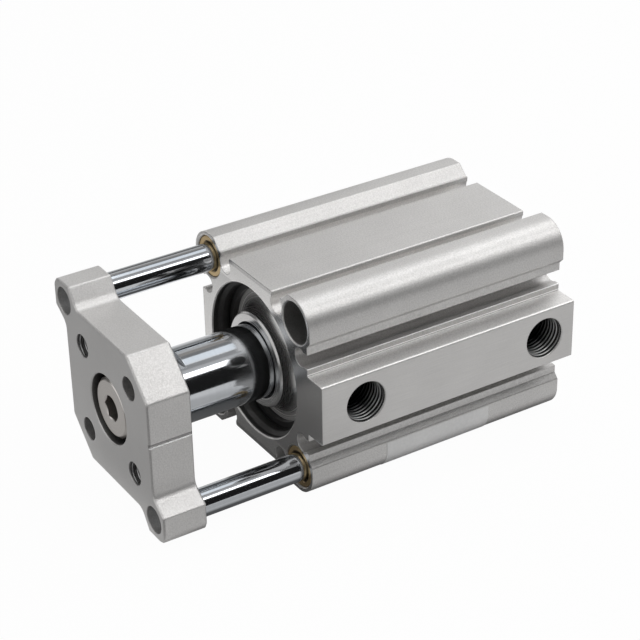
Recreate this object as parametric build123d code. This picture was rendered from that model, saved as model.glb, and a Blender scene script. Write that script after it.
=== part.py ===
from build123d import *
import math
import os

# Guided pneumatic cylinder, 32 mm bore and 30 mm stroke, drawn part of the way out.
# The origin is the centre of the rear mounting face. The rod axis is Y, and the rod
# comes out towards -Y. +Z is up, and the two air ports face +X. Millimetres.
# Each piece is modelled with y counted from the body's front face, positive to the
# back, and moved to the frame's origin as it is written.

# Driving sizes
bore = 32.0
stroke = 30.0
extension = 17.0                 # how much of the stroke the rod is drawn out
body_length = 33.0 + stroke      # head, piston and floor take 33
body_square = 45.0               # over the four corner lobes
face_square = 40.6               # over the flat top, bottom and left faces
port_face = 26.7                 # from the rod axis to the face with the ports
corner_pitch = 34.0              # square of the four corner holes
retracted_gap = 7.0              # between plate and body with the rod fully in
rod_diameter = 16.0
guide_diameter = 6.0
plate_square = 34.3
plate_thickness = 9.7
plate_bolt_circle = 28.0

# Body profile
lobe_foot = 12.3                 # where a lobe's flank leaves the flat face
lobe_shoulder = 14.7             # where the flank meets the lobe's own flat
port_pad_half = 6.9
port_pad_draft = 0.15
shelf_x = 21.4                   # lips of the switch grooves on the port side
shelf_half = 13.6
groove_offset = 10.1
groove_radius = 2.05
groove_slot = 3.3
groove_depth = 18.1              # rod axis to groove centre, port side not counted
groove_depth_port = 18.9
edge_round = 0.4

# Body holes
mouth_radius = 17.2
mouth_bore_radius = 16.8
mouth_bore_depth = 1.2
ring_front = 3.7
ring_thickness = 1.2
ring_groove_radius = 16.9
ring_inner = 14.6
ring_slack = 0.05                # between the sprung ring and its groove's floor
ring_gap_half = 7.0              # degrees, half the ring's opening
ring_gap_turn = 218.0            # degrees, where the opening stands
ring_hole_radius = 0.65
ring_hole_turn = 5.0             # degrees, from the ring's end to its plier hole
head_front = 4.95                # front land of the head, behind the snap ring
head_back = 14.0
floor_thickness = 5.0
bolt_hole_radius = 2.75
bolt_sink_radius = 4.5
bolt_sink_depth = 7.0
guide_bush_radius = 4.6
guide_bush_length = 13.0
guide_bush_front = 0.3
guide_bush_rear = 17.0           # station of the second pair's front faces
guide_relief_radius = 3.5
port_radius = 4.55
port_depth = 9.0
port_bevel = 0.2
port_front = 10.5
port_from_rear = 7.5
port_passage_radius = 1.2
port_passage_rear = 1.32         # rear passage, ahead of the bore's floor
overshoot = 1.0                  # how far a cutting shape runs past the face it cuts
small_chamfer = 0.25

# Head, round the rod
boss_front = 0.4
boss_radius = 10.45
boss_bevel = 0.4
boss_fillet = 4.0                # hollow flank between the boss and the land
boss_mouth_radius = 8.4
seal_radius = 9.3
seal_front = 1.7
seal_back = 4.9
seal_lead = 0.35
seal_lip_gap = 0.2
seal_lip_depth = 1.3
seal_slack = 0.1
rod_bush_radius = 9.2
rod_bush_front = 6.2
head_ring_front = 6.2
head_ring_back = 8.2
head_ring_root = 14.4
head_gallery_front = 9.2
head_gallery_radius = 14.2
running_clearance = 0.03
o_ring_slack = 0.02
o_ring_flat = 0.4                # share of the ring's half height that is flat
rod_bush_bevel = 0.2
guide_bush_entry = 0.5
guide_bush_exit = 0.3
guide_bush_edge = 0.25

# Piston
piston_length = 10.8
piston_radius = bore / 2 - 0.3
piston_spigot_radius = 5.0
bumper_inner = 9.0
bumper_outer = 12.5
bumper_length = 3.0
bumper_stand = 1.5               # how far each bumper stands out of the piston
bumper_bevel = 0.3
piston_bevel = 0.4
piston_seal_front = 2.6
piston_seal_width = 2.4
piston_seal_root = 13.3
piston_lip_width = 0.4
piston_lip_bevel = 0.5
piston_lip_dip = 0.6
magnet_front = 5.8
magnet_width = 2.6
magnet_root = 12.8
magnet_radius = 15.4
gasket_front = 4.5
gasket_width = 1.7
gasket_radius = 6.3
end_play = 0.1

# Plate and rods
ear_reach = 21.2                 # rod axis to the flat sides of an ear
ear_foot = 11.8
ear_shoulder = 14.5
ear_fillet = 2.5
ear_corner = 2.4
corner_cut = 7.5
cut_round = 1.0
plate_bevel = 0.3
plate_hole_radius = 2.55
side_line_z = -0.3
side_line_height = 0.9
side_line_depth = 0.35
screw_sink_radius = 7.55
screw_sink_depth = 6.0
screw_head_radius = 6.5
screw_head_height = 5.4
screw_bevel = 0.6
screw_shank_radius = 4.0
screw_shank_length = 14.0
screw_clear_radius = 4.3
tapped_depth = 16.0
socket_flats = 5.0
socket_depth = 3.2
socket_lead = 0.5                # bevel at the socket's mouth, across and deep
socket_lead_depth = 0.3
guide_recess = 2.5               # guide rod's end below the plate's front face
guide_rear_gap = 2.0             # from the retracted rod's end to the rear face
guide_rod_bevel = 0.5
rod_bevel = 0.4
flat_length = 6.0
flats_across = 14.0
flats_turn = -4.5                # degrees, the flats are not quite level

half_pitch = corner_pitch / 2
plate_back = -(retracted_gap + extension)
plate_front = plate_back - plate_thickness
bore_floor = body_length - floor_thickness
piston_front = head_back + end_play + stroke - extension + bumper_stand
piston_back = piston_front + piston_length
bolt_corners = [(half_pitch, half_pitch), (-half_pitch, -half_pitch)]
guide_corners = {"upper": (-half_pitch, half_pitch), "lower": (half_pitch, -half_pitch)}


def turned(points, x=0.0, z=0.0):
    """Solid of revolution about a line along Y, from (radius, y) corners."""
    return Pos(x, 0, z) * revolve(make_face(Polyline(*points, close=True)), Axis.Y)


def tube(inner, outer, front, back, x=0.0, z=0.0, bevel=0.0):
    """Round piece along Y, with its outer edges bevelled."""
    points = [(inner, front), (outer - bevel, front), (outer, front + bevel)]
    points += [(outer, back - bevel), (outer - bevel, back), (inner, back)]
    kept = [p for i, p in enumerate(points) if i == 0 or p != points[i - 1]]
    return turned(kept, x, z)


def hole(radius, front, back, x=0.0, z=0.0):
    return Pos(x, (front + back) / 2, z) * Rot(90, 0, 0) * Cylinder(radius, back - front)


def slab(outline, front, back):
    """Prism along Y from an outline drawn in x and z."""
    return extrude(Plane.XZ.offset(-front) * outline, amount=front - back)


def rounded(outline, places, radius):
    """The outline with its corners at the given (x, z) places rounded."""
    picked = [min(outline.vertices(), key=lambda v: math.hypot(v.X - x, v.Y - z)) for x, z in places]
    return fillet(picked, radius)


def body_profile():
    """Extruded section: square with four corner lobes, port pad and eight switch grooves."""
    half, flat = body_square / 2, face_square / 2
    lobe = make_face(Polyline(
        (lobe_foot, flat), (lobe_shoulder, half), (half, half), (half, lobe_shoulder),
        (flat, lobe_foot), (lobe_foot, lobe_foot), close=True))
    lobe = rounded(lobe, [(half, half)], half - half_pitch)
    lobe = rounded(lobe, [(lobe_shoulder, half), (half, lobe_shoulder)], edge_round)
    section = Rectangle(face_square, face_square)
    for quarter in range(4):
        section += Rot(0, 0, 90 * quarter) * lobe
    section += Pos(shelf_x / 2, 0) * Rectangle(shelf_x, 2 * shelf_half)
    section += make_face(Polyline(
        (0, port_pad_half + port_pad_draft), (port_face, port_pad_half - port_pad_draft),
        (port_face, port_pad_draft - port_pad_half), (0, -port_pad_half - port_pad_draft),
        close=True))
    for quarter in range(4):
        depth = groove_depth_port if quarter == 0 else groove_depth
        for side in (-1, 1):
            groove = Pos(depth, side * groove_offset) * Circle(groove_radius)
            past = 2 * (body_square / 2 - depth)
            groove += Pos(depth + past / 2, side * groove_offset) * Rectangle(past, groove_slot)
            section -= Rot(0, 0, 90 * quarter) * groove
    pad = port_pad_half - port_pad_draft
    edge = groove_offset - groove_slot / 2
    corners = [(port_face, pad), (port_face, -pad)]
    for side in (-1, 1):
        corners += [(side * edge, flat), (side * edge, -flat), (-flat, side * edge)]
    return rounded(section, corners, edge_round)


def bore_cut():
    """Cylinder bore with its bevelled mouth and the snap ring's groove."""
    radius = bore / 2
    step = mouth_radius - mouth_bore_radius
    lead = mouth_bore_radius - radius
    return turned([
        (0, -overshoot), (mouth_radius, -overshoot), (mouth_radius, 0), (mouth_bore_radius, step),
        (mouth_bore_radius, mouth_bore_depth), (radius, mouth_bore_depth + lead),
        (radius, ring_front), (ring_groove_radius, ring_front),
        (ring_groove_radius, head_front), (radius, head_front),
        (radius, bore_floor), (0, bore_floor)])


def bolt_hole(x, z):
    """Through hole with a counterbore at each end, each with a bevelled edge."""
    wide, deep, bevel = bolt_sink_radius, bolt_sink_depth, small_chamfer
    end = body_length
    return turned([
        (0, -overshoot), (wide + bevel, -overshoot), (wide + bevel, 0), (wide, bevel),
        (wide, deep), (bolt_hole_radius, deep), (bolt_hole_radius, end - deep),
        (wide, end - deep), (wide, end - bevel), (wide + bevel, end),
        (wide + bevel, end + overshoot), (0, end + overshoot)], x, z)


def guide_hole(x, z):
    """Seat of the two guide bushes, with a clearance hole on to the rear face."""
    seat_back = guide_bush_rear + guide_bush_length
    mouth, past = guide_bush_radius + small_chamfer, body_length + overshoot
    return turned([
        (0, -overshoot), (mouth, -overshoot), (mouth, 0), (guide_bush_radius, small_chamfer),
        (guide_bush_radius, seat_back), (guide_relief_radius, seat_back),
        (guide_relief_radius, past), (0, past)], x, z)


def port_cut(y, passage_y):
    """Tapped air port with a bevelled mouth, and the small drilled way on into the bore."""
    floor = port_face - port_depth
    mouth = Pos(port_face, y, 0) * Rot(0, 90, 0)
    port = mouth * Cylinder(port_radius, 2 * port_depth)
    port += mouth * Cone(port_radius, port_radius + 2 * port_bevel, 2 * port_bevel)
    inner, outer = bore / 2 - 2 * overshoot, floor + overshoot
    way = Pos((inner + outer) / 2, passage_y, 0) * Rot(0, 90, 0)
    return port + way * Cylinder(port_passage_radius, outer - inner)


def barrel():
    body = slab(body_profile(), 0, body_length) - bore_cut()
    for x, z in bolt_corners:
        body -= bolt_hole(x, z)
    for x, z in guide_corners.values():
        body -= guide_hole(x, z)
    body -= port_cut(port_front, port_front)
    port_rear = body_length - port_from_rear
    return body - port_cut(port_rear, bore_floor - port_passage_rear)


def rod_cover():
    """Turned head: boss round the rod, hollow flank, seal gland, ring groove, air gallery."""
    radius = bore / 2
    land = boss_radius + boss_fillet
    throat = boss_mouth_radius
    with BuildPart() as head:
        with BuildSketch(Plane.XY):
            with BuildLine():
                Polyline((throat, seal_front), (throat, boss_front),
                         (boss_radius - boss_bevel, boss_front),
                         (boss_radius, boss_front + boss_bevel),
                         (boss_radius, head_front - boss_fillet))
                RadiusArc((boss_radius, head_front - boss_fillet), (land, head_front), boss_fillet)
                Polyline((land, head_front), (radius, head_front), (radius, head_ring_front),
                         (head_ring_root, head_ring_front), (head_ring_root, head_ring_back),
                         (radius, head_ring_back), (radius, head_gallery_front),
                         (head_gallery_radius, head_gallery_front), (head_gallery_radius, head_back),
                         (rod_bush_radius, head_back), (rod_bush_radius, rod_bush_front),
                         (throat, rod_bush_front), (throat, seal_back), (seal_radius, seal_back),
                         (seal_radius, seal_front), (throat, seal_front))
            make_face()
        revolve(axis=Axis.Y)
    return head.part


def rod_seal():
    """Lip seal: a square heel with one lip on the rod and one in the gland."""
    rod, back = rod_diameter / 2 + running_clearance, seal_back - seal_slack
    middle = (rod + seal_radius) / 2
    return turned([
        (rod, seal_front + seal_lip_gap), (rod + seal_lead, seal_front),
        (seal_radius, seal_front), (seal_radius, back), (middle + seal_lip_gap, back),
        (middle, back - seal_lip_depth), (middle - seal_lip_gap, back), (rod, back)])


def snap_ring():
    """Open ring in the bore's groove, its two pierced ends behind the rod, low on the left."""
    outer = ring_groove_radius - ring_slack
    reach = outer + overshoot
    rise = reach * math.tan(math.radians(ring_gap_half))
    ring = Circle(outer) - Circle(ring_inner)
    ring -= make_face(Polyline((0, 0), (reach, rise), (reach, -rise), close=True))
    for side in (-1, 1):
        turn = Rot(0, 0, side * (ring_gap_half + ring_hole_turn))
        ring -= turn * Pos((ring_inner + outer) / 2, 0) * Circle(ring_hole_radius)
    return slab(Rot(0, 0, ring_gap_turn) * ring, head_front - ring_thickness, head_front)


def o_ring(root, outer, front, back):
    """Rubber ring as it sits squeezed in its groove, flat where it touches the metal."""
    middle, ring = (front + back) / 2, (root + outer) / 2
    half = (outer - root) / 2 - o_ring_slack
    flat = o_ring_flat * half
    corners = [(half, -flat), (half, flat), (flat, half), (-flat, half),
               (-half, flat), (-half, -flat), (-flat, -half), (flat, -half)]
    return turned([(ring + across, middle + along) for across, along in corners])


def guide_bush(x, z, front):
    """Plain bearing with a wide inner bevel where the rod enters."""
    inner, outer = guide_diameter / 2 + running_clearance, guide_bush_radius
    back, edge = front + guide_bush_length, guide_bush_edge
    return turned([
        (inner, front + guide_bush_entry), (inner + guide_bush_entry, front),
        (outer - edge, front), (outer, front + edge), (outer, back - edge), (outer - edge, back),
        (inner + guide_bush_exit, back), (inner, back - guide_bush_exit)], x, z)


def piston_rod():
    """Rod with wrench flats behind the plate, tapped front end and a spigot for the piston."""
    radius, cut = rod_diameter / 2, rod_diameter / 4
    spigot_back = piston_back - bumper_stand
    rod = turned([
        (0, plate_back), (radius - rod_bevel, plate_back), (radius, plate_back + rod_bevel),
        (radius, piston_front), (piston_spigot_radius, piston_front),
        (piston_spigot_radius, spigot_back), (0, spigot_back)])
    rod -= hole(screw_shank_radius, plate_back - overshoot, plate_back + tapped_depth)
    for side in (-1, 1):
        flat = Pos(0, plate_back + flat_length / 2, side * (flats_across + cut) / 2)
        rod -= Rot(0, -flats_turn, 0) * flat * Box(2 * radius, flat_length, cut)
    return rod


def piston():
    """Turned piston with grooves for seal, magnet and gasket, and a recess for each bumper."""
    front, back = piston_front, piston_back
    seal = front + piston_seal_front
    magnet = front + magnet_front
    gasket = front + gasket_front
    recess, bevel = bumper_length - bumper_stand, piston_bevel
    return turned([
        (piston_spigot_radius, front), (bumper_inner, front), (bumper_inner, front + recess),
        (bumper_outer, front + recess), (bumper_outer, front), (piston_radius - bevel, front),
        (piston_radius, front + bevel), (piston_radius, seal), (piston_seal_root, seal),
        (piston_seal_root, seal + piston_seal_width), (piston_radius, seal + piston_seal_width),
        (piston_radius, magnet), (magnet_root, magnet), (magnet_root, magnet + magnet_width),
        (piston_radius, magnet + magnet_width), (piston_radius, back - bevel),
        (piston_radius - bevel, back), (bumper_outer, back), (bumper_outer, back - recess),
        (bumper_inner, back - recess), (bumper_inner, back), (piston_spigot_radius, back),
        (piston_spigot_radius, gasket + gasket_width), (gasket_radius, gasket + gasket_width),
        (gasket_radius, gasket), (piston_spigot_radius, gasket)])


def piston_seal():
    """Seal with a lip towards each chamber."""
    front = piston_front + piston_seal_front + seal_slack
    back = front + piston_seal_width - 2 * seal_slack
    outer, middle = bore / 2 - running_clearance, (front + back) / 2
    return turned([
        (piston_seal_root, front), (outer - piston_lip_bevel, front),
        (outer, front + piston_lip_width), (outer - piston_lip_dip, middle),
        (outer, back - piston_lip_width), (outer - piston_lip_bevel, back),
        (piston_seal_root, back)])


def bumper(front, back):
    return tube(bumper_inner, bumper_outer, front, back, bevel=bumper_bevel)


def plate_outline():
    """Square with two corners cut and an ear on each of the other two."""
    half, reach = plate_square / 2, ear_reach
    cut = half - corner_cut
    side = [(half, cut), (half, -ear_foot), (reach, -ear_shoulder), (reach, -reach),
            (ear_shoulder, -reach), (ear_foot, -half), (-cut, -half)]
    points = side + [(-x, -z) for x, z in side]
    outline = make_face(Polyline(*points, close=True))
    both = [1, -1]
    outline = rounded(outline, [(s * half, s * cut) for s in both], cut_round)
    outline = rounded(outline, [(-s * cut, -s * half) for s in both], cut_round)
    outline = rounded(outline, [(s * half, -s * ear_foot) for s in both], ear_fillet)
    outline = rounded(outline, [(s * ear_foot, -s * half) for s in both], ear_fillet)
    outline = rounded(outline, [(s * reach, -s * ear_shoulder) for s in both], edge_round)
    outline = rounded(outline, [(s * ear_shoulder, -s * reach) for s in both], edge_round)
    return rounded(outline, [(s * reach, -s * reach) for s in both], ear_corner)


def front_plate():
    plate = slab(plate_outline(), plate_front, plate_back)
    for end in (0, -1):
        face = plate.faces().filter_by(Axis.Y).sort_by(Axis.Y)[end]
        plate = chamfer(face.outer_wire().edges(), plate_bevel)
    bevel, floor = small_chamfer, plate_front + screw_sink_depth
    before, past = plate_front - overshoot, plate_back + overshoot
    plate -= turned([
        (0, before), (screw_sink_radius + bevel, before),
        (screw_sink_radius + bevel, plate_front), (screw_sink_radius, plate_front + bevel),
        (screw_sink_radius, floor), (screw_clear_radius, floor), (screw_clear_radius, past),
        (0, past)])
    reach = plate_bolt_circle / 2 / math.sqrt(2)
    for x in (-reach, reach):
        for z in (-reach, reach):
            plate -= hole(plate_hole_radius, before, past, x, z)
    for x, z in guide_corners.values():
        plate -= hole(guide_diameter / 2, before, past, x, z)
    half, top = plate_square / 2, side_line_z + side_line_height
    line = make_face(Polyline(
        (half + overshoot, side_line_z), (half - side_line_depth, side_line_z), (half, top),
        (half + overshoot, top), close=True))
    return plate - slab(line, before, past)


def plate_screw():
    """Low-headed socket screw that holds the plate on the rod's end."""
    seat = plate_front + screw_sink_depth
    front, end = seat - screw_head_height, seat + screw_shank_length
    screw = turned([
        (0, front), (screw_head_radius - screw_bevel, front),
        (screw_head_radius, front + screw_bevel), (screw_head_radius, seat),
        (screw_shank_radius, seat), (screw_shank_radius, end - screw_bevel),
        (screw_shank_radius - screw_bevel, end), (0, end)])
    corner = socket_flats / math.sqrt(3)
    screw -= slab(RegularPolygon(corner, 6), front - overshoot, front + socket_depth)
    lead_floor = front + socket_lead_depth
    return screw - turned([
        (0, front - overshoot), (corner, front - overshoot), (corner, front),
        (corner - socket_lead, lead_floor), (0, lead_floor)])


def guide_rod(x, z):
    front = plate_front + guide_recess
    back = body_length - guide_rear_gap - extension
    return tube(0, guide_diameter / 2, front, back, x, z, bevel=guide_rod_bevel)


def write(name, solid):
    placed = Pos(0, -body_length, 0) * solid
    placed.label = name
    export_step(placed, os.path.join("parts", name + ".step"))


os.makedirs("parts", exist_ok=True)

write("barrel", barrel())
write("rod_cover", rod_cover())
write("rod_bush", tube(rod_diameter / 2 + running_clearance, rod_bush_radius,
                       rod_bush_front, head_back, bevel=rod_bush_bevel))
write("rod_seal", rod_seal())
write("retaining_ring", snap_ring())
write("rod_cover_o_ring", o_ring(head_ring_root, bore / 2, head_ring_front, head_ring_back))
for place, (x, z) in guide_corners.items():
    write(f"guide_bush_{place}_front", guide_bush(x, z, guide_bush_front))
    write(f"guide_bush_{place}_rear", guide_bush(x, z, guide_bush_rear))

write("piston_rod", piston_rod())
write("piston", piston())
write("piston_seal", piston_seal())
write("magnet_ring", tube(magnet_root, magnet_radius, piston_front + magnet_front,
                          piston_front + magnet_front + magnet_width))
write("piston_gasket", o_ring(piston_spigot_radius, gasket_radius, piston_front + gasket_front,
                              piston_front + gasket_front + gasket_width))
write("bumper_front", bumper(piston_front - bumper_stand,
                             piston_front - bumper_stand + bumper_length))
write("bumper_rear", bumper(piston_back + bumper_stand - bumper_length,
                            piston_back + bumper_stand))
write("front_plate", front_plate())
write("plate_screw", plate_screw())
for place, (x, z) in guide_corners.items():
    write(f"guide_rod_{place}", guide_rod(x, z))
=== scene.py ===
import bpy
import math
from mathutils import Matrix, Vector


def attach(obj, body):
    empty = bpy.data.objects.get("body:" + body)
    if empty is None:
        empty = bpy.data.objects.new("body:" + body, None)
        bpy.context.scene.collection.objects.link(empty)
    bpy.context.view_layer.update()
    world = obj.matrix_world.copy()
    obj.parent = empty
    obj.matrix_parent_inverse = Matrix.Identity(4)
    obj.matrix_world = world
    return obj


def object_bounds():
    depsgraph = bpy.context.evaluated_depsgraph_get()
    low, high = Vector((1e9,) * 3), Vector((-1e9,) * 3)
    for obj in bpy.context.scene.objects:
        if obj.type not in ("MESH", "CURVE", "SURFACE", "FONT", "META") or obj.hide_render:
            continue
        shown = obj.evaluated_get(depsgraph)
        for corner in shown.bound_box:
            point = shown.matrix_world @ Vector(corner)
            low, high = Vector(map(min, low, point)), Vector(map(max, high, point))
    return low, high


# Guided pneumatic cylinder, drawn part of the way out. The origin is the centre of the
# rear mounting face, the rod comes out towards -Y, the air ports face +X, and +Z is up.
# Metres throughout.

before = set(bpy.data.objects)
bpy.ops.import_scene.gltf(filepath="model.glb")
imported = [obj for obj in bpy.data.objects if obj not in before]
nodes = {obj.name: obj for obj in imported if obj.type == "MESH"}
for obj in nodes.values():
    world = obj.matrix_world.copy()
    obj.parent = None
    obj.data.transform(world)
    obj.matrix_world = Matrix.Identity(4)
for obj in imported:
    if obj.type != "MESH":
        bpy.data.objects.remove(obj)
cad_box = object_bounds()
scene = bpy.context.scene
scene.view_settings.view_transform = "Standard"

# Camera. It looks down on the plate and the port side from the front right, with a long
# lens close by, so the plate comes out a little larger than the body's far end.
turn, height, roll = (math.radians(a) for a in (58.093, 29.841, -1.180))
back = Vector((math.sin(turn) * math.cos(height),
               -math.cos(turn) * math.cos(height),
               math.sin(height)))
level = Vector((math.cos(turn), math.sin(turn), 0))
over = back.cross(level)
right = level * math.cos(roll) + over * math.sin(roll)
upward = over * math.cos(roll) - level * math.sin(roll)
lens = bpy.data.cameras.new("camera")
lens.sensor_width, lens.lens = 36.0, 114.21
lens.clip_start, lens.clip_end = 0.01, 20.0
camera = bpy.data.objects.new("camera", lens)
eye = (0.31436, -0.24218, 0.21680)
facing = Matrix((right, upward, back)).transposed().to_4x4()
camera.matrix_world = Matrix.Translation(eye) @ facing
scene.collection.objects.link(camera)
scene.camera = camera


# Body. One length of extruded aluminium, bored, drilled and tapped, then bead blasted and
# clear anodised. The blasting leaves a fine sparkling grain and the die faint lines along
# the length. The ends and the port face are cut smoother. The holes are painted dark inside
# (painted shade), the grooves are painted lighter (painted light), and the port side has
# painted highlights along its edges and painted shade on the lower lobe's flank.
def add(tree, kind, inputs=None, **settings):
    """Adds a shader or geometry node. An input is given a value or another node's socket."""
    made = tree.nodes.new(kind)
    for name, value in settings.items():
        setattr(made, name, value)
    for name, value in (inputs or {}).items():
        if isinstance(value, bpy.types.NodeSocket):
            tree.links.new(value, made.inputs[name])
        else:
            made.inputs[name].default_value = value
    return made


def reckon(tree, operation, *values):
    """Math node on one to three values."""
    return add(tree, "ShaderNodeMath", dict(enumerate(values)), operation=operation).outputs[0]


def spread(tree, value, low, high, start=0.3, end=0.7):
    """Maps a value that runs from start to end onto low to high. Where they aren't given,
    start and end are the range that a noise keeps to."""
    return add(tree, "ShaderNodeMapRange", {
        "Value": value, "From Min": start, "From Max": end, "To Min": low, "To Max": high},
        clamp=True).outputs["Result"]


def grey(level, warmth=0.0):
    """Grey colour, a little redder than blue where warmth is above 0."""
    return (level * (1 + warmth), level, level * (1 - warmth), 1.0)


def blended(tree, share, first, second):
    """Mix of two colours."""
    return add(tree, "ShaderNodeMix", {0: share, 6: first, 7: second}, data_type="RGBA").outputs[2]


def noise(tree, place, scale, stretch=(1, 1, 1), detail=2.0):
    """Noise from 0 to 1, with the pattern drawn out along an axis whose stretch is small."""
    drawn = add(tree, "ShaderNodeMapping", {"Vector": place, "Scale": stretch})
    return add(tree, "ShaderNodeTexNoise", {
        "Vector": drawn.outputs["Vector"], "Scale": scale, "Detail": detail}).outputs["Fac"]


def apart(tree, place, centre, across):
    """Distance of a point from centre, counting only the axes that are 1 in across."""
    offset = add(tree, "ShaderNodeVectorMath", {0: place, 1: centre}, operation="SUBTRACT")
    flat = add(tree, "ShaderNodeVectorMath", {0: offset.outputs[0], 1: across}, operation="MULTIPLY")
    return add(tree, "ShaderNodeVectorMath", {0: flat.outputs[0]}, operation="LENGTH").outputs["Value"]


def finish_of(name, **shader):
    """New material with its node tree, its shader and its Object coordinates."""
    material = bpy.data.materials.new(name)
    material.use_nodes = True
    tree = material.node_tree
    tree.nodes.clear()
    surface = add(tree, "ShaderNodeBsdfPrincipled", {
        key.replace("_", " "): value for key, value in shader.items()})
    end = add(tree, "ShaderNodeOutputMaterial")
    tree.links.new(surface.outputs["BSDF"], end.inputs["Surface"])
    place = add(tree, "ShaderNodeTexCoord").outputs["Object"]
    return material, tree, surface, place


def worked(tree, surface, place, grain, colour, rough, depth, edge=0.0, uneven=0.09, gloss=0.06,
           relief=None):
    """Skin whose tone, gloss and height follow a grain of 0 to 1, with softened edges. Its
    height can follow a relief of its own. The mix halves the colour, which leaves room for
    tones above 1, so a colour for it is written at twice its strength."""
    cloud = spread(tree, noise(tree, place, 90), 0.97, 1.03)
    tone = reckon(tree, "MULTIPLY", spread(tree, grain, 1 - uneven, 1 + uneven), cloud)
    tree.links.new(blended(tree, reckon(tree, "MULTIPLY", tone, 0.5), grey(0.0), colour),
                   surface.inputs["Base Color"])
    tree.links.new(reckon(tree, "ADD", rough, spread(tree, grain, gloss, -gloss)),
                   surface.inputs["Roughness"])
    bumps = add(tree, "ShaderNodeBump", {
        "Height": grain if relief is None else relief, "Strength": 1.0, "Distance": depth})
    if edge:
        soft = add(tree, "ShaderNodeBevel", {"Radius": edge}, samples=6)
        tree.links.new(soft.outputs["Normal"], bumps.inputs["Normal"])
    tree.links.new(bumps.outputs["Normal"], surface.inputs["Normal"])


def coat(material, *names):
    """Gives CAD nodes one material all over."""
    for name in names:
        skins = nodes[name].data.materials
        skins.clear()
        skins.append(material)


def within(tree, value, low, high):
    """1 where the value lies between low and high, and 0 elsewhere."""
    return reckon(tree, "MULTIPLY", reckon(tree, "GREATER_THAN", value, low),
                  reckon(tree, "LESS_THAN", value, high))


def span_of(name, axis):
    """Least and greatest place of a CAD node along x, y or z, given as 0, 1 or 2."""
    reached = [point[axis] for point in nodes[name].bound_box]
    return min(reached), max(reached)


round_x, round_y, along_y = (0, 1, 1), (1, 0, 1), (0, 1, 0)
aluminium = grey(1.12, 0.015)
on_face = 0.00002  # how close a point is to a cut face or a wall to count as on it
body_front, body_rear = span_of("barrel", 1)
port_face = span_of("barrel", 0)[1]
port_front_y, port_rear_y = body_front + 0.0105, body_rear - 0.0075
corner, bore_end = 0.017, -0.001
bore_wall, sink_wall, port_wall = 0.01695, 0.00453, 0.00456
groove_lip, groove_floor, groove_reach = 0.0193, 0.0155, 0.0125
flat_x, pad_x = 0.0212, 0.02142
body_skin, tree, surface, place = finish_of("body_anodised")
side = add(tree, "ShaderNodeSeparateXYZ", {0: place}).outputs
cut = reckon(tree, "MAXIMUM", reckon(tree, "LESS_THAN", side["Y"], body_front + on_face),
             reckon(tree, "GREATER_THAN", side["Y"], body_rear - on_face))
milled = reckon(tree, "GREATER_THAN", side["X"], port_face - on_face / 2)
smooth = reckon(tree, "MAXIMUM", cut, milled)
behind_bore = reckon(tree, "GREATER_THAN", side["Y"], bore_end)
far_side = reckon(tree, "LESS_THAN", side["X"], 0.0)
painted_wall_shade = [  # centre, axes square to the hole, radius, share of colour the wall keeps under the painted shade, where no hole is
    ((0, 0, 0), round_y, bore_wall, 0.10, behind_bore),
    ((corner, 0, corner), round_y, sink_wall, 0.52, 0.0),
    ((-corner, 0, -corner), round_y, sink_wall, 0.52, 0.0),
    ((0, port_front_y, 0), round_x, port_wall, 0.15, far_side),
    ((0, port_rear_y, 0), round_x, port_wall, 0.15, far_side)]
# Painted shade: the walls of the bore, the corner sinks and the ports are darkened towards black.
painted_hole_shade = 1.0
for centre, across, radius, share, solid in painted_wall_shade:
    inside = apart(tree, place, centre, across)
    wall = spread(tree, inside, share, 1.0, radius - on_face, radius)
    painted_hole_shade = reckon(tree, "MINIMUM", painted_hole_shade, reckon(tree, "MAXIMUM", wall, solid))
blast_scale, blast_detail = 3200, 3.0
blast = noise(tree, place, blast_scale, detail=blast_detail)
die_lines = noise(tree, place, 1600, stretch=(1, 0.006, 1), detail=3.0)
tool_lines = noise(tree, place, 4200, stretch=(1, 0.03, 1), detail=2.0)
calm = spread(tree, blast, 0.46, 0.54)
blasted = add(tree, "ShaderNodeMix", {0: 0.14, 2: blast, 3: die_lines}).outputs[0]
machined = add(tree, "ShaderNodeMix", {0: 0.25, 2: calm, 3: tool_lines}).outputs[0]
grain = add(tree, "ShaderNodeMix", {0: smooth, 2: blasted, 3: machined}).outputs[0]
wide, tall = (reckon(tree, "ABSOLUTE", side[axis]) for axis in "XZ")
# Painted light: the top and bottom grooves are painted lighter than the rest of the skin.
painted_groove_light = reckon(tree, "MULTIPLY", within(tree, tall, groove_floor, groove_lip),
                 reckon(tree, "LESS_THAN", wide, groove_reach))
skin = blended(tree, painted_groove_light, aluminium, grey(1.45, 0.015))
painted_port_side_bands = [  # lowest z, highest z, least x, tone: painted highlights and painted shade along the port side
    (0.0066, 0.0071, pad_x, 1.5),  # painted highlight on the upper side of the raised port face
    (0.0070, 0.00725, flat_x, 2.4),  # painted highlight on its foot
    (0.0083, 0.0085, flat_x, 2.2),  # painted highlight on the lip of the groove above it
    (-0.0147, -0.01335, flat_x, 0.70)]  # painted shade on the flank of the lower lobe
for low, high, out, tone in painted_port_side_bands:
    painted_band = reckon(tree, "MULTIPLY", within(tree, side["Z"], low, high),
                  reckon(tree, "GREATER_THAN", side["X"], out))
    skin = blended(tree, painted_band, skin, grey(tone, 0.015))
skin = blended(tree, painted_hole_shade, grey(0.0), skin)
rough = reckon(tree, "SUBTRACT", spread(tree, cut, 0.46, 0.25, 0, 1),
               reckon(tree, "MULTIPLY", milled, 0.08))
tree.links.new(spread(tree, cut, 0.85, 0.97, 0, 1), surface.inputs["Metallic"])
worked(tree, surface, place, grain, skin, rough, depth=0.000042, edge=0.0003, uneven=0.12)
coat(body_skin, "barrel")
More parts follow.
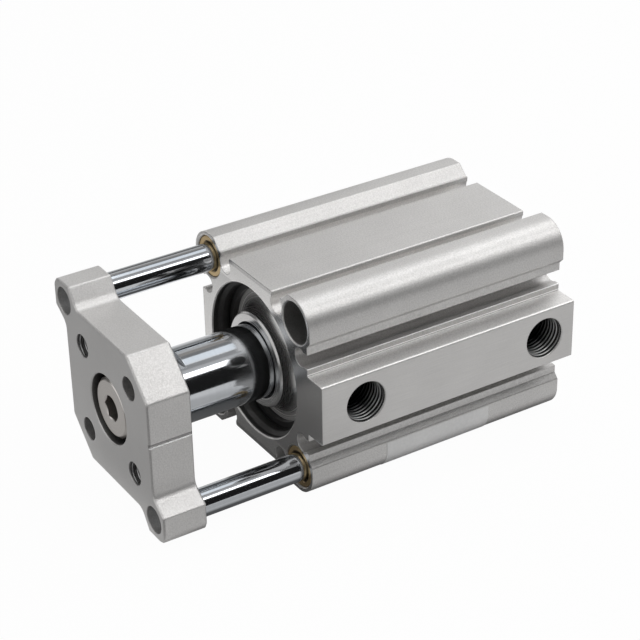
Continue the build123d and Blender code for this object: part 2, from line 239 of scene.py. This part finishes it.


# Port threads. Both air ports are tapped with a fine pipe thread, 27 ridges to the inch.
# The ridge winds in from the mouth, where it starts thin. It is painted light on its crest and dark in
# its roots and deeper in the port: painted light and shade.
thread = bpy.data.node_groups.new("tapped_thread", "GeometryNodeTree")
for name, kind in (("Wall radius", "Float"), ("Pitch", "Float"), ("Turns", "Float"),
                   ("Ridge height", "Float"), ("Ridge foot", "Float"), ("Crest width", "Float"),
                   ("Sunk", "Float"), ("Points per turn", "Int"), ("Holes", "Int"),
                   ("First mouth", "Vector"), ("To next", "Vector"), ("Turned", "Vector"),
                   ("Skin", "Material")):
    thread.interface.new_socket(name, in_out="INPUT", socket_type="NodeSocket" + kind)
thread.interface.new_socket("Ridges", in_out="OUTPUT", socket_type="NodeSocketGeometry")
given = add(thread, "NodeGroupInput").outputs
winding = add(thread, "GeometryNodeCurveSpiral", {
    "Resolution": given["Points per turn"], "Rotations": given["Turns"],
    "Start Radius": given["Wall radius"], "End Radius": given["Wall radius"],
    "Height": reckon(thread, "MULTIPLY", given["Turns"], given["Pitch"]), "Reverse": True})
winding = add(thread, "GeometryNodeSetCurveNormal", {"Curve": winding.outputs[0]}, mode="Z_UP")
section = add(thread, "GeometryNodeCurvePrimitiveQuadrilateral", {
    "Height": given["Ridge height"], "Bottom Width": given["Crest width"],
    "Top Width": given["Ridge foot"], "Offset": 0.0}, mode="TRAPEZOID")
half_ridge = reckon(thread, "MULTIPLY", given["Ridge height"], 0.5)
inward = reckon(thread, "SUBTRACT", given["Sunk"], half_ridge)
shift = add(thread, "ShaderNodeCombineXYZ", {"X": inward})
section = add(thread, "GeometryNodeTransform", {
    "Geometry": section.outputs[0], "Translation": shift.outputs[0],
    "Rotation": (0, 0, math.radians(-90))})
run = add(thread, "GeometryNodeSplineParameter").outputs["Factor"]
turns_in = reckon(thread, "MULTIPLY", run, given["Turns"])
fade = spread(thread, turns_in, 0.15, 1.0, 0.0, 0.5)
ridge = add(thread, "GeometryNodeCurveToMesh", {
    "Curve": winding.outputs[0], "Profile Curve": section.outputs[0], "Scale": fade,
    "Fill Caps": True})
mouths = add(thread, "GeometryNodeMeshLine", {
    "Count": given["Holes"], "Start Location": given["First mouth"], "Offset": given["To next"]})
way_in = add(thread, "FunctionNodeEulerToRotation", {0: given["Turned"]})
placed = add(thread, "GeometryNodeInstanceOnPoints", {
    "Points": mouths.outputs[0], "Instance": ridge.outputs[0], "Rotation": way_in.outputs[0]})
solid = add(thread, "GeometryNodeRealizeInstances", {0: placed.outputs[0]})
skinned = add(thread, "GeometryNodeSetMaterial", {
    "Geometry": solid.outputs[0], "Material": given["Skin"]})
thread.links.new(skinned.outputs[0], add(thread, "NodeGroupOutput").inputs[0])


def grown(tree, name, sizes):
    """Object with the plain mesh that a geometry tree gives for these sizes."""
    made = bpy.data.objects.new(name, bpy.data.meshes.new(name))
    scene.collection.objects.link(made)
    maker = made.modifiers.new("maker", "NODES")
    maker.node_group = tree
    for painted_socket_shade in tree.interface.items_tree:
        if painted_socket_shade.in_out == "INPUT":
            maker[painted_socket_shade.identifier] = sizes[painted_socket_shade.name]
    graph = bpy.context.evaluated_depsgraph_get()
    mesh = bpy.data.meshes.new_from_object(made.evaluated_get(graph))
    made.modifiers.remove(maker)
    made.data = mesh
    return made


thread_skin, tree, surface, place = finish_of("thread_cut", Metallic=1.0)
crest_radius, root_radius = 0.00416, 0.00445
deep_x, light_x, mouth_x = 0.0205, 0.0250, port_face - 0.0004
from_axis = reckon(tree, "MINIMUM", apart(tree, place, (0, port_front_y, 0), round_x),
                   apart(tree, place, (0, port_rear_y, 0), round_x))
depth = add(tree, "ShaderNodeSeparateXYZ", {0: place}).outputs["X"]
# Painted light and shade: bright on the crest, near black at the root, and darker deeper in.
painted_crest_light = reckon(tree, "MULTIPLY", spread(tree, from_axis, 1.15, 0.12, crest_radius, root_radius),
               spread(tree, depth, 0.12, 1.0, deep_x, light_x))
worked(tree, surface, place, noise(tree, place, 2600, detail=3.0),
       blended(tree, painted_crest_light, grey(0.0), grey(1.0)), rough=0.34, depth=0.000004)
port_threads = grown(thread, "port_threads", {
    "Wall radius": 0.00455, "Pitch": 0.00094, "Turns": 8.5, "Ridge height": 0.0004,
    "Ridge foot": 0.00084, "Crest width": 0.00014, "Sunk": 0.00003, "Points per turn": 56,
    "Holes": 2, "First mouth": (mouth_x, port_front_y, 0),
    "To next": (0, port_rear_y - port_front_y, 0),
    "Turned": (0, math.radians(-90), 0), "Skin": thread_skin})
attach(port_threads, "cylinder_body")


# Label. A strip of pale foil stuck on the lower lobe of the port side, rolled down over the
# lobe's round. It is left blank.
lobe_x, lobe_z, lobe_radius = corner, -corner, 0.0055
label_top, label_wrap = -0.0149, math.radians(58)
label_front, label_rear, foil = -0.0447, -0.0187, 0.00008
steps, spans = 24, 8


def foil_point(i, lift):
    """Point across the strip: down the lobe's flat side, then round its outer corner."""
    flat = label_top - lobe_z
    down = (flat + lobe_radius * label_wrap) * i / steps
    if down <= flat:
        return lobe_x + lobe_radius + lift, label_top - down
    angle = (down - flat) / lobe_radius
    reach = lobe_radius + lift
    return lobe_x + reach * math.cos(angle), lobe_z - reach * math.sin(angle)


corners, faces = [], []
for lift in (foil, -foil / 2):
    for j in range(spans + 1):
        y = label_front + (label_rear - label_front) * j / spans
        corners += [(x, y, z) for x, z in (foil_point(i, lift) for i in range(steps + 1))]
row, below = steps + 1, (steps + 1) * (spans + 1)
for j in range(spans):
    for i in range(steps):
        a = j * row + i
        faces.append((a, a + 1, a + row + 1, a + row))
        faces.append((below + a, below + a + row, below + a + row + 1, below + a + 1))
border = list(range(row))
border += [j * row + steps for j in range(1, spans + 1)]
border += [spans * row + i for i in range(steps - 1, -1, -1)]
border += [j * row for j in range(spans - 1, 0, -1)]
for k, a in enumerate(border):
    b = border[(k + 1) % len(border)]
    faces.append((b, a, below + a, below + b))
mesh = bpy.data.meshes.new("blank_label")
mesh.from_pydata(corners, [], faces)
label_skin, tree, surface, place = finish_of("label_foil", Metallic=0.35)
worked(tree, surface, place, noise(tree, place, 1500, detail=4.0), grey(1.28, 0.004),
       rough=0.42, depth=0.000002, uneven=0.03)
mesh.materials.append(label_skin)
label = bpy.data.objects.new("blank_label", mesh)
scene.collection.objects.link(label)
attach(label, "cylinder_body")


# Head. It is turned from aluminium bar and anodised, and sits in the bore's mouth behind the
# snap ring. The tool leaves fine rings on its face and boss.
def lathe_marks(tree, place, per_metre):
    """Fine rings round the rod's axis, on end faces and round walls alike."""
    out = apart(tree, place, (0, 0, 0), round_y)
    along = apart(tree, place, (0, 0, 0), along_y)
    return add(tree, "ShaderNodeTexNoise", {
        "W": reckon(tree, "ADD", out, along), "Scale": per_metre, "Detail": 2.0},
        noise_dimensions="1D").outputs["Fac"]


hollow_start, hollow_end = 0.0112, 0.0134
head_skin, tree, surface, place = finish_of("head_turned")
from_axis = apart(tree, place, (0, 0, 0), round_y)
# Painted light: the outer part of the hollow flank is painted lighter and less metallic, standing in
# for highlights there.
painted_flank_light = spread(tree, from_axis, 0.0, 1.0, hollow_start, hollow_end)
tree.links.new(spread(tree, painted_flank_light, 0.92, 0.50, 0.0, 1.0), surface.inputs["Metallic"])
worked(tree, surface, place, lathe_marks(tree, place, 5000),
       blended(tree, painted_flank_light, grey(1.04, 0.01), grey(1.5, 0.02)),
       rough=0.26, depth=0.0000001, edge=0.0002, uneven=0.02, gloss=0.02)
coat(head_skin, "rod_cover")


# Snap ring. Stamped from spring steel and phosphated black, it springs into the bore's
# groove in front of the head.
ring_skin, tree, surface, place = finish_of("ring_phosphate", Metallic=0.5)
worked(tree, surface, place, noise(tree, place, 9000, detail=3.0), grey(0.045),
       rough=0.52, depth=0.000003, edge=0.0001, uneven=0.2)
coat(ring_skin, "retaining_ring")


# Rubber. The rod seal in the head, the rings on the head, piston and spigot, the piston's
# lips and the bumpers are moulded in black nitrile, dull, with a trace of oil.
rubber, tree, surface, place = finish_of("black_rubber", Specular_IOR_Level=0.35)
worked(tree, surface, place, noise(tree, place, 7000, detail=4.0), grey(0.030),
       rough=0.52, depth=0.000003, uneven=0.25, gloss=0.1)
coat(rubber, "rod_seal", "rod_cover_o_ring", "piston_seal", "piston_gasket", "bumper_front",
     "bumper_rear")


# Bushes. The rod's bush in the head and the four guide bushes are sintered bronze, pressed
# in, with dark pores that hold oil.
bronze, tree, surface, place = finish_of("bearing_bronze", Metallic=1.0)
pores = noise(tree, place, 6500, detail=2.0)
open_pore = spread(tree, pores, 0.0, 1.0, 0.60, 0.68)
bore_dark, bore_light, rim_light, rim_dark = 0.0033, 0.0036, 0.0044, 0.0045
from_axis = reckon(tree, "MINIMUM", apart(tree, place, (-corner, 0, corner), round_y),
                   apart(tree, place, (corner, 0, -corner), round_y))
# Painted shade: the bushes are painted darker at the mouth of their bore and at their outer rim.
painted_bush_shade = reckon(tree, "MINIMUM", spread(tree, from_axis, 0.2, 1.0, bore_dark, bore_light),
               spread(tree, from_axis, 1.0, 0.5, rim_light, rim_dark))
metal = blended(tree, open_pore, (1.18, 0.87, 0.45, 1), (0.46, 0.33, 0.16, 1))
worked(tree, surface, place, pores, blended(tree, painted_bush_shade, grey(0.0), metal),
       rough=0.34, depth=0.000005, edge=0.0001)
coat(bronze, "rod_bush", "guide_bush_upper_front", "guide_bush_upper_rear",
     "guide_bush_lower_front", "guide_bush_lower_rear")


# Rods. The piston rod and both guide rods are steel, hard chromed, then ground and polished
# round and round, so they mirror the studio with only the faintest ripple.
chrome, tree, surface, place = finish_of("hard_chrome", Metallic=1.0)
ground = noise(tree, place, 1500, stretch=(0.05, 1, 0.05), detail=3.0)
ripple = noise(tree, place, 260, stretch=(1, 0.35, 1), detail=2.0)
worked(tree, surface, place, ground, (1.17, 1.21, 1.26, 1),
       rough=0.10, depth=0.0000024, edge=0.0001, uneven=0.02, gloss=0.02, relief=ripple)
coat(chrome, "piston_rod", "guide_rod_upper", "guide_rod_lower")


# Piston. Turned from aluminium, with its seal, and a ring of bonded magnet that the
# switches on the body sense.
piston_skin, tree, surface, place = finish_of("piston_turned", Metallic=1.0)
worked(tree, surface, place, lathe_marks(tree, place, 3000), grey(0.96, 0.02),
       rough=0.30, depth=0.000002, edge=0.0001)
coat(piston_skin, "piston")
magnet_skin, tree, surface, place = finish_of("bonded_magnet", Metallic=0.1)
worked(tree, surface, place, noise(tree, place, 5000, detail=5.0), grey(0.09, 0.05),
       rough=0.6, depth=0.000004, uneven=0.35)
coat(magnet_skin, "magnet_ring")


# Plate. Milled from aluminium, bead blasted and anodised like the body, with its front and
# back faces cut smoother and a fine line cut across its side. The screw's counterbore and the
# holes are painted dark inside (painted shade), the side towards +X is painted lighter
# (painted light), and the line has painted shade with a painted highlight on its ledge.
plate_front, plate_back = span_of("front_plate", 1)
hole_at, hole_wall, seat_wall, counterbore_wall = 0.0099, 0.00257, 0.00302, 0.0076
side_x, line_x = 0.0169, 0.0166
line_low, ledge_high, line_high = -0.00034, -0.00026, 0.0006
both = (-hole_at, hole_at)
painted_plate_hole_shade = [((x, 0, z), hole_wall, 0.74) for x in both for z in both]
painted_plate_hole_shade += [((x, 0, -x), seat_wall, 0.90) for x in (-corner, corner)]
painted_plate_hole_shade.append(((0, 0, 0), counterbore_wall, 0.24))
plate_skin, tree, surface, place = finish_of("plate_anodised", Metallic=0.85)
side = add(tree, "ShaderNodeSeparateXYZ", {0: place}).outputs
cut = reckon(tree, "MAXIMUM", reckon(tree, "LESS_THAN", side["Y"], plate_front + on_face),
             reckon(tree, "GREATER_THAN", side["Y"], plate_back - on_face))
# Painted shade: the walls of the holes and the counterbore are darkened towards black.
painted_hole_shade = 1.0
for centre, radius, share in painted_plate_hole_shade:
    inside = apart(tree, place, centre, round_y)
    painted_hole_shade = reckon(tree, "MINIMUM", painted_hole_shade, spread(tree, inside, share, 1.0, radius - on_face, radius))
blast = noise(tree, place, blast_scale, detail=blast_detail)
calm = spread(tree, blast, 0.46, 0.54)
grain = add(tree, "ShaderNodeMix", {0: cut, 2: blast, 3: calm}).outputs[0]
# Painted light: the side face towards +X is painted lighter than the rest.
painted_side_light = reckon(tree, "MULTIPLY", reckon(tree, "GREATER_THAN", side["X"], side_x),
               reckon(tree, "SUBTRACT", 1.0, cut))
skin = blended(tree, painted_side_light, aluminium, grey(1.28, 0.015))
# Painted shade in the line across the side, and a painted highlight on its lower ledge.
painted_line_shade = reckon(tree, "MULTIPLY", within(tree, side["Z"], line_low, line_high),
              reckon(tree, "GREATER_THAN", side["X"], line_x))
painted_ledge_highlight = reckon(tree, "MULTIPLY", painted_line_shade, reckon(tree, "LESS_THAN", side["Z"], ledge_high))
skin = blended(tree, painted_line_shade, skin, grey(0.62, 0.015))
skin = blended(tree, painted_ledge_highlight, skin, grey(2.6, 0.015))
skin = blended(tree, painted_hole_shade, grey(0.0), skin)
worked(tree, surface, place, grain, skin, spread(tree, cut, 0.46, 0.29, 0, 1),
       depth=0.000028, edge=0.0004, uneven=0.08)
coat(plate_skin, "front_plate")


# Plate threads. Two of the plate's four holes on the bolt circle are tapped right through,
# M6 coarse. The other two are plain.
plate_thread_skin, tree, surface, place = finish_of("plate_thread_cut", Metallic=1.0)
crest_radius, root_radius, mouth_y = 0.00224, 0.00248, plate_front + 0.0003
# Painted light and shade: bright on the crests, dark in the roots.
painted_crest_light = 0.0
for x in both:
    from_axis = apart(tree, place, (x, 0, -x), round_y)
    bright = spread(tree, from_axis, 0.9, 0.25, crest_radius, root_radius)
    painted_crest_light = reckon(tree, "MAXIMUM", painted_crest_light, bright)
worked(tree, surface, place, noise(tree, place, 2600, detail=3.0),
       blended(tree, painted_crest_light, grey(0.0), grey(1.0)), rough=0.34, depth=0.000004)
plate_threads = grown(thread, "plate_threads", {
    "Wall radius": 0.00255, "Pitch": 0.001, "Turns": 8.6, "Ridge height": 0.00034,
    "Ridge foot": 0.0009, "Crest width": 0.00014, "Sunk": 0.00003, "Points per turn": 40,
    "Holes": 2, "First mouth": (-hole_at, mouth_y, hole_at),
    "To next": (2 * hole_at, 0, -2 * hole_at),
    "Turned": (math.radians(-90), 0, 0), "Skin": plate_thread_skin})
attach(plate_threads, "slider")


# Screw. A low-headed socket screw in nickel-plated steel holds the plate on the rod. Its
# head is turned, and its socket is broached.
head_front, socket_radius, socket_deep = span_of("plate_screw", 1)[0], 0.0029, 0.0022
screw_skin, tree, surface, place = finish_of("screw_nickel", Metallic=1.0)
below_face = apart(tree, place, (0, head_front, 0), along_y)
from_axis = apart(tree, place, (0, 0, 0), round_y)
# Painted shade: the socket is darkened towards black, more so deeper in.
painted_socket_shade = spread(tree, below_face, 0.10, 0.55, 0.0002, socket_deep)
painted_socket_shade = reckon(tree, "MULTIPLY", painted_socket_shade, reckon(tree, "LESS_THAN", from_axis, socket_radius))
painted_socket_shade = reckon(tree, "MULTIPLY", painted_socket_shade, reckon(tree, "GREATER_THAN", below_face, 0.0001))
skin = blended(tree, painted_socket_shade, grey(1.24, 0.05), grey(0.0))
worked(tree, surface, place, lathe_marks(tree, place, 6000), skin,
       rough=0.34, depth=0.000002, edge=0.00012, uneven=0.05)
coat(screw_skin, "plate_screw")


# Studio. A pale floor just under the corner lobes, and two long strip softboxes overhead. Grey
# and black glowing cards that only gloss sees are painted reflections: they draw the streaks in
# the chrome and darken the end faces. Beyond them the background is white to the camera and to gloss.
world = bpy.data.worlds.new("studio")
scene.world = world
world.use_nodes = True
tree = world.node_tree
tree.nodes.clear()
ray = add(tree, "ShaderNodeLightPath").outputs
seen = reckon(tree, "MAXIMUM", ray["Is Camera Ray"], ray["Is Glossy Ray"])
seen = reckon(tree, "MAXIMUM", seen, ray["Is Transmission Ray"])
sky = add(tree, "ShaderNodeBackground", {
    "Color": grey(1.0), "Strength": spread(tree, seen, 0.52, 1.0, 0.0, 1.0)})
tree.links.new(sky.outputs["Background"], add(tree, "ShaderNodeOutputWorld").inputs["Surface"])


def sheet(name, corners, material):
    """Flat four-cornered sheet that belongs to the studio."""
    mesh = bpy.data.meshes.new(name)
    mesh.from_pydata(corners, [], [(0, 1, 2, 3)])
    mesh.materials.append(material)
    made = bpy.data.objects.new(name, mesh)
    scene.collection.objects.link(made)
    return made


def shown(name):
    """New material with an empty tree, and that tree."""
    material = bpy.data.materials.new(name)
    material.use_nodes = True
    material.node_tree.nodes.clear()
    return material, material.node_tree


paper, tree = shown("floor_paper")
ray = add(tree, "ShaderNodeLightPath").outputs
place = add(tree, "ShaderNodeTexCoord").outputs["Object"]
side = add(tree, "ShaderNodeSeparateXYZ", {0: place}).outputs
# Painted shadow and painted light in the tones that the cut faces mirror in the paper: dark
# under the object, dim to its right and before the plate, and lighter close to its left. Each
# pair is where a soft edge starts and ends.
front_edge, side_edge, left_edge = (-0.105, -0.085), (0.0215, 0.0255), (-0.10, -0.03)
right_edge, plate_edge, rods_edge = (0.012, 0.030), (-0.1035, -0.097), (-0.056, -0.040)
dim_edge = (-0.07, -0.01)
painted_shadow_below = reckon(tree, "MULTIPLY", spread(tree, side["Y"], 0.0, 1.1, *front_edge),
                    spread(tree, reckon(tree, "ABSOLUTE", side["X"]), 1.0, 0.0, *side_edge))
tone = reckon(tree, "SUBTRACT", spread(tree, side["X"], 0.8, 1.2, *left_edge), painted_shadow_below)
to_right = spread(tree, side["X"], 0.0, 1.0, *right_edge)
to_front = spread(tree, side["Y"], 1.0, 0.0, *plate_edge)
beside_rods = spread(tree, side["Y"], 0.55, 0.34, *rods_edge)
for share in (beside_rods, reckon(tree, "MULTIPLY", to_front, 0.6)):
    dimmed = reckon(tree, "SUBTRACT", 1.0, reckon(tree, "MULTIPLY", to_right, share))
    tone = reckon(tree, "MULTIPLY", tone, dimmed)
before_plate = spread(tree, side["X"], 0.46, 0.34, *dim_edge)
tone = reckon(tree, "MULTIPLY", tone, spread(tree, to_front, 1.0, before_plate, 0.0, 1.0))
matt = add(tree, "ShaderNodeBsdfDiffuse", {"Color": grey(0.75)})
white = add(tree, "ShaderNodeEmission", {"Color": grey(1.0), "Strength": 1.0})
painted_floor_shade = add(tree, "ShaderNodeEmission", {"Color": grey(1.0), "Strength": tone})
gloss = reckon(tree, "MAXIMUM", ray["Is Glossy Ray"], ray["Is Transmission Ray"])
to_camera = reckon(tree, "MULTIPLY", ray["Is Camera Ray"], 0.97)
to_gloss = reckon(tree, "MULTIPLY", gloss, 0.85)
mixed = add(tree, "ShaderNodeMixShader", {0: to_camera, 1: matt.outputs[0], 2: white.outputs[0]})
mixed = add(tree, "ShaderNodeMixShader", {0: to_gloss, 1: mixed.outputs[0], 2: painted_floor_shade.outputs[0]})
tree.links.new(mixed.outputs[0], add(tree, "ShaderNodeOutputMaterial").inputs["Surface"])
reach, floor_z = 3.0, cad_box[0][2] - 0.00004
sheet("floor", [(-reach, -reach, floor_z), (reach, -reach, floor_z), (reach, reach, floor_z),
                (-reach, reach, floor_z)], paper)


def card(name, corners, colour):
    """Glowing card that only gloss sees: a painted reflection."""
    material, tree = shown(name)
    glow = add(tree, "ShaderNodeEmission", {"Color": colour, "Strength": 1.0})
    tree.links.new(glow.outputs[0], add(tree, "ShaderNodeOutputMaterial").inputs["Surface"])
    made = sheet(name, corners, material)
    made.visible_camera = made.visible_shadow = made.visible_diffuse = False


arc_radius = 0.40


def arc_card(start, end, front, rear, tone, warmth=0.0):
    """Card along the rods, from start to end in degrees round their axis, where 0 is +X."""
    (x0, z0), (x1, z1) = (
        (arc_radius * math.cos(math.radians(a)), arc_radius * math.sin(math.radians(a)))
        for a in (start, end))
    card(f"panel_{start}", [(x0, front, z0), (x0, rear, z0), (x1, rear, z1), (x1, front, z1)],
         grey(tone, warmth))


# All the cards are painted reflections. The first card lies before the strip overhead, where
# the rods would mirror it too brightly. The second is the long black one to the right, and the
# rest are the streaks on the rods.
streak_front, streak_rear = 0.055, 0.165
arc_card(87, 107, streak_front, 0.148, 1.08, -0.05)
arc_card(-3, 46, -0.22, 0.33, 0.015)
for start, end, tone, warmth in (
        (60, 71, 0.60, 0.0), (71, 84, 0.38, 0.0), (107, 119, 0.25, 0.0), (119, 131, 0.36, 0.06),
        (131, 144, 0.60, 0.0), (144, 156, 0.12, 0.06), (156, 171, 0.30, 0.0),
        (171, 182, 0.58, 0.0)):
    arc_card(start, end, streak_front, streak_rear, tone, warmth)
# The flags are black gloss-only cards in front: painted dark reflections for the end faces.
flag_y, flag_top = -0.45, 1.4
for name, x0, x1 in (("flag_left", -1.2, -0.40), ("flag_right", 0.42, 1.6)):
    card(name, [(x0, flag_y, 0), (x1, flag_y, 0), (x1, flag_y, flag_top), (x0, flag_y, flag_top)],
         grey(0.02))

strip_length, strip_out, strip_middle = 0.54, 0.42, 0.20
for name, angle, width, radiance in (
        ("strip_over", 97, 0.13, 2.7), ("strip_right", 54.5, 0.105, 2.95)):
    lamp = bpy.data.lights.new(name, "AREA")
    lamp.shape = "RECTANGLE"
    lamp.size, lamp.size_y = width, strip_length
    lamp.energy = radiance * math.pi * width * strip_length
    stand = bpy.data.objects.new(name, lamp)
    stand.location = (strip_out * math.cos(math.radians(angle)), strip_middle,
                      strip_out * math.sin(math.radians(angle)))
    stand.rotation_euler = (0, math.radians(90 - angle), 0)
    scene.collection.objects.link(stand)
